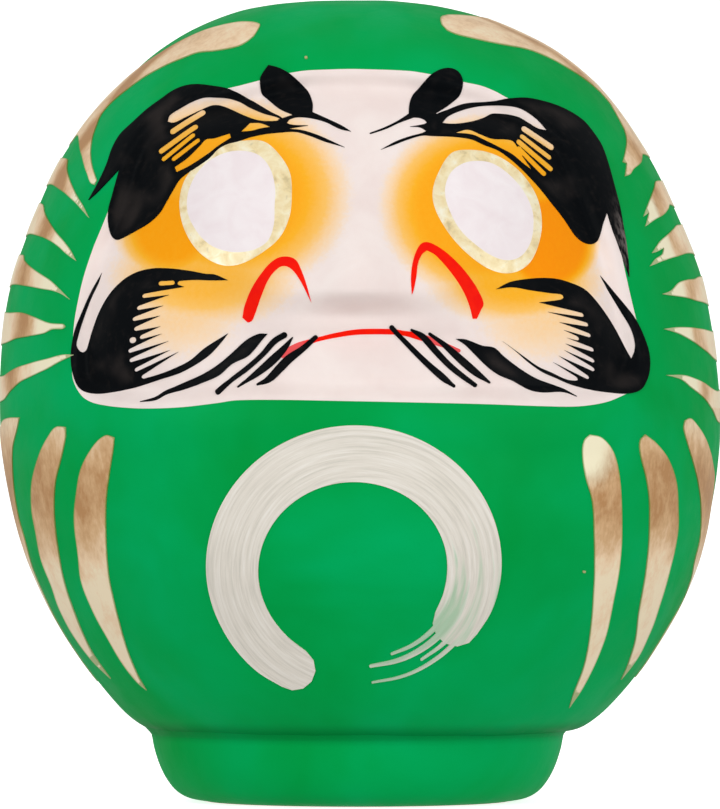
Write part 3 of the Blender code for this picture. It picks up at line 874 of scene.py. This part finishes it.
SHORT_WHISKERS = [
    (
        [(-18.4, 116), (-20.8, 114.4), (-23.6, 111.2), (-27.3, 107.9), (-31, 105.1), (-34.4, 102)],
        [1.5, 1.5, 1.2, 1.2, 1.1, 1.3],
    ),
    (
        [(-16.4, 115.4), (-18.4, 112.6), (-21.2, 109.8), (-24.5, 107), (-29.6, 103.2)],
        [0.3, 1.5, 2.0, 1.6, 0.3],
    ),
    (
        [(-10.8, 115.4), (-13.8, 112.6), (-17.1, 110.2), (-19.4, 107.9), (-22.2, 105.1), (-24.9, 103.8)],
        [1.2, 1.4, 2.0, 2.0, 1.6, 0.4],
    ),
    ([(7.7, 117.8), (11.6, 113.5), (16.2, 108.9), (20, 105.6), (22.7, 103.4)], [1.2, 1.2, 1.4, 1.6, 0.7]),
    ([(12.5, 117.2), (15.3, 115.4), (18.6, 111.6), (22.3, 107.9), (27.8, 103.7)], [0.6, 1.6, 1.5, 1.4, 1.1]),
    ([(16.9, 116.2), (20.4, 113.5), (24.1, 110.2), (27.8, 107), (31.3, 104.4)], [0.8, 1.3, 1.8, 1.7, 0.5]),
]
MOUTH = [
    (-18.7, 111.2), (-15, 113.2), (-10.9, 114.7), (-5.5, 116), (0, 116.8), (7.3, 116.8), (10.7, 116.4),
    (14.5, 115.5), (19.4, 113.8), (24, 112.1),
]
MOUTH_WIDTHS = [1.7, 1.7, 1.1, 1.2, 1.3, 1.3, 1.2, 1.7, 1.4, 0.8]
LEFT_NOSTRIL = [
    (-27.2, 119), (-28.5, 120.2), (-27.9, 123.2), (-26.2, 127.2), (-23.9, 130.8), (-21.5, 133.6),
    (-18.9, 134.9), (-15.8, 134.3), (-14.3, 131.8), (-12.9, 128), (-11.8, 124), (-12.7, 125.8),
    (-14.4, 129), (-16.3, 131.6), (-17.9, 132.6), (-19.5, 132.4), (-21.8, 130), (-23.8, 125.6),
    (-25.4, 121.2), (-26.2, 119.4),
]
RIGHT_NOSTRIL = [
    (12.5, 125.7), (12.3, 130), (12.9, 134.1), (14.2, 137.3), (15.6, 138.4), (17.6, 138), (20.7, 136),
    (23.8, 133.1), (26.4, 130), (28.5, 126.9), (29.9, 123.6), (29.2, 121.8), (28.3, 119.9), (27.3, 119.9),
    (26.6, 122.7), (25.3, 125.9), (23.3, 129.2), (20.7, 132.6), (18.1, 135.4), (16.2, 136.4), (15, 135.4),
    (14, 133.1), (13.6, 130), (12.9, 126.6),
]
EYES = {
    "left": (
        [
            (-28.7, 163.5), (-23.6, 163.3), (-19.9, 160.3), (-17.1, 155.6), (-16.6, 150.5), (-17.1, 144.9),
            (-19.4, 139.8), (-23.6, 136.1), (-28.2, 133.5), (-32.4, 132.8), (-36.6, 134.2), (-40.3, 137.5),
            (-43.1, 142.6), (-44.1, 148.2), (-43.1, 153.3), (-40.3, 157.5), (-36.6, 160.7), (-32.9, 162.8),
        ],
        [
            (-32.4, 160.7), (-28.2, 161), (-24.5, 159.8), (-21.9, 156.6), (-20.7, 151.9), (-20.8, 147.3),
            (-21, 142.6), (-22.4, 138.9), (-25.5, 136.8), (-29.2, 136.1), (-33.4, 136.6), (-37.1, 138.4),
            (-40.3, 142.1), (-42.1, 146.3), (-41.9, 151), (-39.9, 155.4), (-36.6, 158.7),
        ],
    ),
    "right": (
        [
            (22.3, 160.5), (26.5, 161.4), (31.6, 160.7), (36.3, 158.4), (40.5, 154.7), (43.3, 150),
            (44.4, 144.9), (44, 139.8), (42.1, 134.7), (39.5, 132.1), (35.8, 131), (31.6, 131.9),
            (27.4, 134.5), (23.3, 138.4), (20, 143.1), (18.1, 147.3), (17.7, 151), (19.1, 155.6),
        ],
        [
            (25.1, 158), (28.8, 158.7), (32.6, 158), (36.7, 155.2), (40, 151.4), (42.1, 146.8),
            (42.3, 142.1), (41.4, 138.2), (39.1, 135.2), (35.8, 134.2), (32.1, 135.2), (27.9, 138),
            (24.2, 141.7), (21.6, 146.8), (20.7, 151.4), (22.1, 155.6),
        ],
    ),
}


def make_face():
    ink, red, gold, white = black_ink(), red_paint(), pale_gold(), eye_white()
    front = seen_from_front
    ground = [smooth_loop(FACE_OUTLINE)]
    film("face_ground", ground, front, GROUND, face_white(), fields=face_fields)
    for side, (outer, inner) in EYES.items():
        outer, inner = smooth_loop(outer), smooth_loop(inner)
        film(
            f"eye_ring_{side}", [outer], front, EYE_RING_TOP, gold, holes=[inner],
            step=STROKE_STEP,
        )
        film(f"eye_white_{side}", [inner], front, EYE_WHITE_TOP, white)
    brows = {
        "left": ([smooth_loop(LEFT_BROW), smooth_loop(LEFT_BROW_BLOB)], LEFT_BROW_GAPS),
        "right": (
            [
                smooth_loop(RIGHT_BROW), smooth_loop(RIGHT_BROW_BLOB),
                stroke([(12.6, 169.8), (9.4, 168.2), (6.2, 166.6), (2.5, 165.2)], [1.4, 0.6, 0.5, 0.3]),
            ],
            RIGHT_BROW_GAPS,
        ),
    }

    def dry_tail(flat):
        return {"dry": bell(flat[:, 0], flat[:, 1], *DRY_TAIL)}

    for side, (loops, gaps) in brows.items():
        film(
            f"brow_{side}", loops, front, BROW_TOP, ink, holes=gaps, fields=dry_tail,
            step=BROW_STEP,
        )
    left_mass = smooth_loop(comb(LEFT_TIPS, LEFT_ROOTS, 0.5, 0.1) + LEFT_WHISKER_EDGE, 100)
    right_mass = smooth_loop(comb(RIGHT_TIPS, RIGHT_ROOTS, 0.48, 0.2) + RIGHT_WHISKER_EDGE, 100)
    pill, dot = bar((-48.4, 128.5), (-45.6, 128.7), 1.1), bar((-55.3, 114.7), (-55, 114.8), 1.4)
    film("whisker_left", [left_mass], front, OVER, ink, holes=[pill, dot], step=BROW_STEP)
    film("whisker_right", [right_mass], front, OVER, ink, step=BROW_STEP)
    strokes = [smooth_loop(loop) for loop in LONG_WHISKERS] + [stroke(*s) for s in SHORT_WHISKERS]
    film("whisker_strokes", strokes, front, TOP, ink, step=STROKE_STEP)

    def thin_ends(flat):
        return {"thin": smoothstep((np.abs(flat[:, 0] - 1.5) - 13.5) / 2.5) * 0.6}

    def opaque(flat):
        return {"thin": 0 * flat[:, 0]}

    mouth = stroke(MOUTH, MOUTH_WIDTHS)
    film("mouth", [mouth], front, OVER, red, fields=thin_ends, step=STROKE_STEP)
    nostrils = [smooth_loop(LEFT_NOSTRIL), smooth_loop(RIGHT_NOSTRIL)]
    film("nostrils", nostrils, front, OVER, red, fields=opaque, step=STROKE_STEP)


# ---- Gold stripes -----------------------------------------------------------------------------
BELLY_STRIPES = [
    [
        (-61.8, 91.6), (-59.6, 91.1), (-59.9, 88.3), (-60.9, 82.5), (-61.8, 75.6), (-61.9, 64.8),
        (-61.2, 56), (-59.3, 47.1), (-57.2, 39), (-54.6, 32.7), (-52.4, 28.9), (-55, 31.1), (-58.5, 35.5),
        (-62, 41.4), (-65.9, 48.9), (-68.5, 55.8), (-69.1, 62.1), (-69.9, 70.6), (-69.4, 77),
        (-68.1, 83.4), (-65.1, 88.8),
    ],
    [
        (-74.5, 93.6), (-72, 93.6), (-72, 91.2), (-73, 86.3), (-74.5, 80.4), (-74.9, 73.5), (-74.5, 66.6),
        (-73.2, 57.1), (-71, 49.7), (-68.5, 43.3), (-65.6, 37.3), (-61.5, 31.4), (-65.7, 35.3),
        (-70.6, 41.7), (-74.1, 48.1), (-76.3, 54.5), (-78.8, 61), (-80, 67.4), (-81, 73.3), (-80.7, 80.3),
        (-78.6, 87.2), (-76.5, 91.2),
    ],
    [
        (55.8, 91.8), (54.4, 90.4), (54, 87.3), (54.8, 81.5), (56.4, 75.7), (57, 66.9), (57.2, 56),
        (56.5, 45.2), (55.1, 35), (52.8, 28.2), (51.6, 24.2), (55.1, 29.4), (58.4, 36.4), (60.4, 42.5),
        (62.2, 51.5), (63.7, 60.8), (63.9, 70.7), (63.3, 80.5), (61.7, 87.3), (58.8, 91),
    ],
    [
        (69.5, 91.8), (68.2, 90.3), (68.3, 87.3), (70, 80.4), (70.7, 75.5), (70.8, 66.7), (70.1, 57.7),
        (68.5, 47.8), (67.8, 40.8), (66.3, 35.2), (64.7, 30.9), (68.9, 36.6), (71.2, 41.7), (73.5, 48.2),
        (76.2, 57.6), (78, 66.5), (78.1, 73.5), (77.4, 80.4), (75.4, 85.8), (72.3, 89.7),
    ],
]
# Stripes that run over the edge of the front view: the seen part in (x, z), from the upper end at that edge
# to the lower one, and the hidden part in (degrees, z), from the lower end back to the upper.
WRAPPED_STRIPES = [
    (
        [
            (-89, 94.8), (-87, 95.8), (-84, 95.9), (-84.8, 92.6), (-86.1, 88), (-86.2, 83), (-85.8, 77),
            (-84.7, 71), (-82.9, 64.8),
        ],
        [(-82, 55), (-86, 43), (-90, 30), (-93, 42), (-94, 56), (-94, 70), (-93, 82), (-90, 91)],
    ),
    (
        [
            (88.2, 80), (87.2, 86), (85.4, 90.5), (83.2, 93.8), (81.2, 95.7), (79.7, 95.2), (79.4, 93),
            (80.8, 88.2), (82.9, 81.3), (84.3, 73.3), (84.3, 66.3), (83, 59.8), (80.8, 51.1),
        ],
        [(84, 45), (84.5, 38), (88, 31), (92, 42), (92, 52), (89, 62), (85, 71)],
    ),
    (
        [
            (-61.8, 177.9), (-55.4, 183), (-49.7, 186.5), (-42.7, 190.3), (-36.7, 192.6), (-30.7, 193.8),
            (-26.7, 193.7), (-24.7, 193), (-24.9, 192.1), (-26.1, 190), (-28.1, 188.4), (-30.1, 187.4),
            (-33.1, 186.8), (-36.6, 186.4), (-40.3, 186), (-44, 184.6), (-49.5, 182.3), (-54.5, 179.5),
            (-58.5, 176.6), (-61.5, 174.1), (-63.9, 171.3), (-65.2, 168.3), (-66.2, 164.8), (-66.4, 161.6),
            (-66.1, 158.9), (-65.2, 155.8), (-64.6, 154.2), (-65.2, 153), (-66.2, 153.6), (-67.2, 156.1),
            (-68.9, 160.9), (-70.3, 166.1),
        ],
        [(-95, 163.5), (-102, 166.5), (-105, 172), (-103, 178), (-96, 180.5)],
    ),
    (
        [
            (32.9, 195.4), (27.8, 195.6), (23.8, 195.7), (21.3, 195.6), (19.9, 194.8), (20.2, 193.1),
            (21.5, 191.5), (23.7, 190.5), (27.6, 189.5), (31.6, 188.7), (35.6, 188.1), (39.6, 187.5),
            (43.6, 186.4), (47.6, 184.7), (51.5, 182.5), (55.5, 180), (59.6, 176.8), (62.1, 174),
            (64, 170.5), (65.5, 167.5), (66, 164.9), (65.6, 161.8), (64.9, 159.1), (65.9, 158.7),
            (65.4, 155.5), (66.7, 156), (67.7, 157.4), (69.6, 159.1), (70.3, 161.3),
        ],
        [(92, 161), (101, 165), (104, 173), (103, 181), (99, 188), (94, 193.5)],
    ),
]
# Strips that point at the face: the seen part in (x, z), from the upper end at the side to the lower.
RAYS = [
    [
        (-72.9, 160.3), (-72.7, 157.6), (-71.1, 153.3), (-69.5, 150.2), (-68.1, 148.1), (-66.4, 144.8),
        (-68.1, 146.7), (-70.5, 149.2), (-73.8, 152), (-77, 154),
    ],
    [
        (-79, 149), (-78.2, 146.7), (-76.6, 144), (-75, 141.7), (-72.7, 139.2), (-70.9, 136.9),
        (-69.4, 134.2), (-72.1, 136.1), (-74, 137.8), (-76.5, 139.5), (-79.2, 140.7), (-82.1, 141.5),
    ],
    [
        (-83.5, 136.2), (-83.1, 134.9), (-80.8, 132.7), (-78.4, 131.1), (-75.9, 129.5), (-73.5, 127.3),
        (-71, 124.8), (-73.2, 126.2), (-75.4, 127), (-78.6, 127.6), (-82, 128.3), (-86, 128.9),
    ],
    [
        (-87, 121.9), (-83.5, 121.8), (-80.3, 120.7), (-76.1, 119.1), (-72.7, 118.8), (-72.1, 118.2),
        (-72.8, 117.6), (-75.5, 117.5), (-77.6, 116.6), (-81.8, 115.9), (-85.2, 115.4), (-87.9, 114.4),
    ],
    [
        (-88.6, 106.2), (-85, 108.1), (-80.8, 109.4), (-76.6, 110.4), (-72.4, 111.3), (-69.8, 111.2),
        (-73.4, 109.6), (-77.1, 107.7), (-80.8, 106.1), (-83.9, 104.6), (-86.1, 102.8), (-88.5, 100.2),
    ],
    [
        (73.5, 154.6), (72.9, 152.9), (71.7, 149.9), (70.6, 147.4), (69.8, 145.4), (71.2, 146.4),
        (70.2, 142.9), (72.6, 144.6), (75, 146), (76.4, 147.6), (76.9, 148.7),
    ],
    [
        (78.6, 143.6), (77.6, 142.6), (75.6, 140.8), (73.7, 139.1), (71.7, 136.3), (72.8, 136.6),
        (74.8, 137.6), (74.4, 136.2), (72.5, 134.8), (71.1, 133), (74.8, 134.5), (78.1, 135.6),
        (81.5, 136.6),
    ],
    [
        (84, 130.8), (82.7, 130.2), (80.6, 129.9), (78.5, 129.1), (76.6, 127.2), (74.2, 126.2),
        (78.2, 125.8), (81.1, 125.4), (83.2, 124.8), (86.1, 124.2),
    ],
    [
        (87.7, 117.3), (84.3, 117.9), (81.1, 118.2), (77.8, 118.1), (74.4, 117.6), (78.8, 116.4),
        (82.1, 114.8), (85.4, 112.7), (88.3, 110.4),
    ],
    [
        (88.7, 102.5), (86.9, 103.4), (85.2, 104.5), (83, 105.4), (79.7, 106.3), (74.9, 106.3),
        (78.9, 105.2), (81.8, 103.1), (85.1, 100.7), (87.4, 98), (89.1, 94.8),
    ],
]
RAY_END = 108.0  # degrees round at which the strips end behind the doll


def belly_tone(x, z):
    """Belly gold is brown high up, paler at the tops and lower ends, and pale on one right stripe's top."""
    brown = 0.85 * smoothstep((z - 52) / 24) * (1 - 0.5 * smoothstep((z - 82) / 11))
    return {"brown": brown, "pale": 0.4 * smoothstep((z - 86) / 9) + 0.95 * bell(x, z, 55, 87, 7, 8)}


def side_tone(degrees, z):
    """Sides: pale at the points, and brown, a painted dark reflection, just before the front view's edge."""
    # painted reflection: the brown band just before the edge of the front view stands for the gold's dark
    # reflection, stronger on the left
    strength = np.where(degrees > 0, 0.55, 0.95)
    dark_reflection_at = 71 + 2.5 * np.sin(z / 4)
    brown = strength * np.exp(-(((np.abs(degrees) - dark_reflection_at) / 5) ** 2)) + 0.25 * smoothstep((z - 138) / 15)
    tip = 1.2 * smoothstep((np.where(degrees > 0, 72, 67) - np.abs(degrees)) / 8)
    pale = tip * smoothstep((160 - z) / 12) + 0.6 * smoothstep((np.abs(degrees) - 78) / 8)
    belly = belly_tone(0 * z, z)
    return {
        "brown": np.where(z > BELLY_TOP, brown, belly["brown"]),
        "pale": np.where(z > BELLY_TOP, pale, belly["pale"]),
    }


def blunt_end(front):
    """The hidden end of a strip that points at the face."""
    side = 1 if front[0][0] > 0 else -1
    upper, lower = front[0][1], front[-1][1]
    return [
        (side * 97, lower - 0.6), (side * (RAY_END - 2), lower + 0.7), (side * RAY_END, (upper + lower) / 2),
        (side * (RAY_END - 1), upper - 0.8), (side * 97, upper + 0.4),
    ]


def wrapped(front, hidden):
    """Outline in (millimetres round, z) of a stripe that is seen in part from the front."""
    points = [(degrees * SIDE_SCALE, z) for degrees, z in hidden]
    for x, z in reversed(front):
        sine = (x - table(LEAN, z)) / half_width_at(z)
        points.insert(0, (math.degrees(math.asin(max(-1, min(1, sine)))) * SIDE_SCALE, z))
    return smooth_loop(points)


def make_gold():
    gold = gold_paint()

    def on_belly(flat):
        return belly_tone(flat[:, 0], flat[:, 1])

    def on_side(flat):
        return side_tone(flat[:, 0] / SIDE_SCALE, flat[:, 1])

    for name, front_side in (("left", -1), ("right", 1)):
        belly = [smooth_loop(loop) for loop in BELLY_STRIPES if loop[0][0] * front_side > 0]
        film(f"belly_gold_{name}", belly, seen_from_front, OVER, gold, fields=on_belly)
        stripes = WRAPPED_STRIPES + [(ray, blunt_end(ray)) for ray in RAYS]
        loops = [wrapped(*stripe) for stripe in stripes if stripe[1][0][0] * front_side > 0]
        film(f"side_gold_{name}", loops, round_the_side, OVER, gold, fields=on_side)
    specks = [bar((x, z), (x + 0.15, z), 0.6) for x, z in ((-13.3, 184.2), (54.6, 58.3))]
    film("gold_specks", specks, seen_from_front, OVER, gold, fields=on_belly)


# ---- The belly motif --------------------------------------------------------------------------
RING_X, RING_Z, RING_RADIUS = 0.0, 59.0, 28.0
RING_STRETCH = 1.06  # its width over its height
RING_START, RING_SWEEP = math.radians(238), math.radians(-322)
RING_POINTS, RING_SOLID = 25, 21  # points along the whole turn, and along its undivided part
# The bristle marks that end it: (shift outwards, thickness, number of the last point).
BRISTLES = [(-3.3, 1.5, 24), (-1.3, 1.9, 25), (0.9, 1.5, 23), (2.7, 1.2, 25)]


def make_motif():
    """An open ring laid in one turn of a wide brush, its dry end split into bristle marks."""
    turn = np.linspace(0, 1, RING_POINTS)
    angle = RING_START + RING_SWEEP * turn
    radius = RING_RADIUS + 1.2 * np.sin(5 * turn + 0.5) - 2.2 * turn**3
    width = 10.5 + 3.2 * np.sin(math.pi * turn) ** 0.7 - 4.0 * smoothstep((turn - 0.75) / 0.25)
    outwards = np.stack([np.cos(angle), np.sin(angle)], axis=1)
    x, z = RING_X + RING_STRETCH * radius * np.cos(angle), RING_Z + radius * np.sin(angle)
    centre = np.stack([x, z], axis=1)
    loops = [stroke(centre[:RING_SOLID].tolist(), width[:RING_SOLID].tolist())]
    for shift, thickness, last in BRISTLES:
        line = (centre + outwards * shift)[RING_SOLID - 3:last]
        thin = np.linspace(thickness * 1.3, thickness * 0.4, len(line))
        loops.append(stroke(line.tolist(), thin.tolist()))

    def fields(flat):
        x, z = (flat[:, 0] - RING_X) / RING_STRETCH, flat[:, 1] - RING_Z
        turned_by = np.mod(RING_START - np.arctan2(z, x) + 0.45, math.tau) - 0.45
        return {
            "along": turned_by * RING_RADIUS,
            "across": np.hypot(x, z),
            "dry": smoothstep((turned_by + RING_SWEEP * 0.45) / (-RING_SWEEP * 0.5)),
        }

    film("belly_motif", loops, seen_from_front, OVER, motif_white(), fields=fields)


# ---- Studio, in metres ------------------------------------------------------------------------
FLOOR_RADIUS, BEND_RADIUS, WALL_HEIGHT = 7.0, 0.8, 8.0
FLOOR_DROP = 0.2 * MM  # keeps the floor clear of the doll's underside
ROOM_LIGHT = 0.56
# Square area lights, all aimed at the doll: (name, place, size, watts).
LIGHTS = [
    ("key_light", (-1.25, -1.65, 0.9), 1.3, 15.0), ("fill_light", (1.4, -1.5, 0.35), 1.3, 15.0),
    ("top_light", (0.1, 0.3, 1.9), 1.4, 1.5),
]
CAMERA_DISTANCE, CAMERA_HEIGHT, LENS = 2400 * MM, 99.1 * MM, 426.7


def make_floor():
    """A white floor that curves up into a round wall. It throws no light back on the doll."""
    paint = Paint("studio_paper", Roughness=0.9, Specular_IOR_Level=0.1, Emission_Strength=0.8)
    paint.shader.inputs["Emission Color"].default_value = (1.0, 1.0, 1.0, 1.0)
    tint = paint.noise(400, 2, 0.5)
    paint.drive(Base_Color=paint.mix(tint, srgb(244, 243, 241), srgb(248, 247, 246)))
    bend = [
        (FLOOR_RADIUS + BEND_RADIUS * math.sin(a), BEND_RADIUS - BEND_RADIUS * math.cos(a))
        for a in np.linspace(0, math.pi / 2, 24)
    ]
    line = [(0.0001, 0.0), (1.0, 0.0)] + bend + [(FLOOR_RADIUS + BEND_RADIUS, WALL_HEIGHT)]
    bm = bmesh.new()
    angles = np.linspace(0, math.tau, 96, endpoint=False)
    rings = [[bm.verts.new((r * math.cos(a), r * math.sin(a), z)) for a in angles] for r, z in line]
    for low, high in zip(rings, rings[1:]):
        for i in range(len(low)):
            bm.faces.new((low[i - 1], low[i], high[i], high[i - 1]))
    mesh = bpy.data.meshes.new("studio_sweep")
    bm.to_mesh(mesh)
    bm.free()
    mesh.shade_smooth()
    mesh.materials.append(paint.material)
    sweep = bpy.data.objects.new("studio_sweep", mesh)
    sweep.location.z = -FLOOR_DROP
    bpy.context.scene.collection.objects.link(sweep)
    sweep.visible_diffuse = False
    sweep.visible_glossy = False


def make_light():
    """The area lights, and an even white world."""
    middle = Vector((0, 0, HEIGHT / 2 * MM))
    for name, place, size, power in LIGHTS:
        data = bpy.data.lights.new(name, "AREA")
        data.shape = "SQUARE"
        data.size = size
        data.energy = power
        light = bpy.data.objects.new(name, data)
        light.location = place
        light.rotation_euler = (middle - light.location).to_track_quat("-Z", "Y").to_euler()
        bpy.context.scene.collection.objects.link(light)
    world = bpy.data.worlds.new("soft_room")
    world.use_nodes = True
    background = world.node_tree.nodes["Background"]
    background.inputs["Color"].default_value = (1.0, 1.0, 1.0, 1.0)
    background.inputs["Strength"].default_value = ROOM_LIGHT
    bpy.context.scene.world = world
    bpy.context.scene.view_settings.view_transform = "Standard"


def make_camera():
    """Level with the middle of the doll, straight in front of it."""
    data = bpy.data.cameras.new("camera")
    data.sensor_width = 36.0
    data.lens = LENS
    data.clip_end = 20.0
    camera = bpy.data.objects.new("camera", data)
    camera.location = (BODY_SHIFT * MM, -CAMERA_DISTANCE, CAMERA_HEIGHT)
    camera.rotation_euler = (math.pi / 2, 0, 0)
    bpy.context.scene.collection.objects.link(camera)
    bpy.context.scene.camera = camera


make_camera()
make_body(green_lacquer("green_lacquer"))
make_foot(green_lacquer("green_lacquer_foot", 1.04))
dress_inner_pieces()
make_face()
make_gold()
make_motif()
make_floor()
make_light()
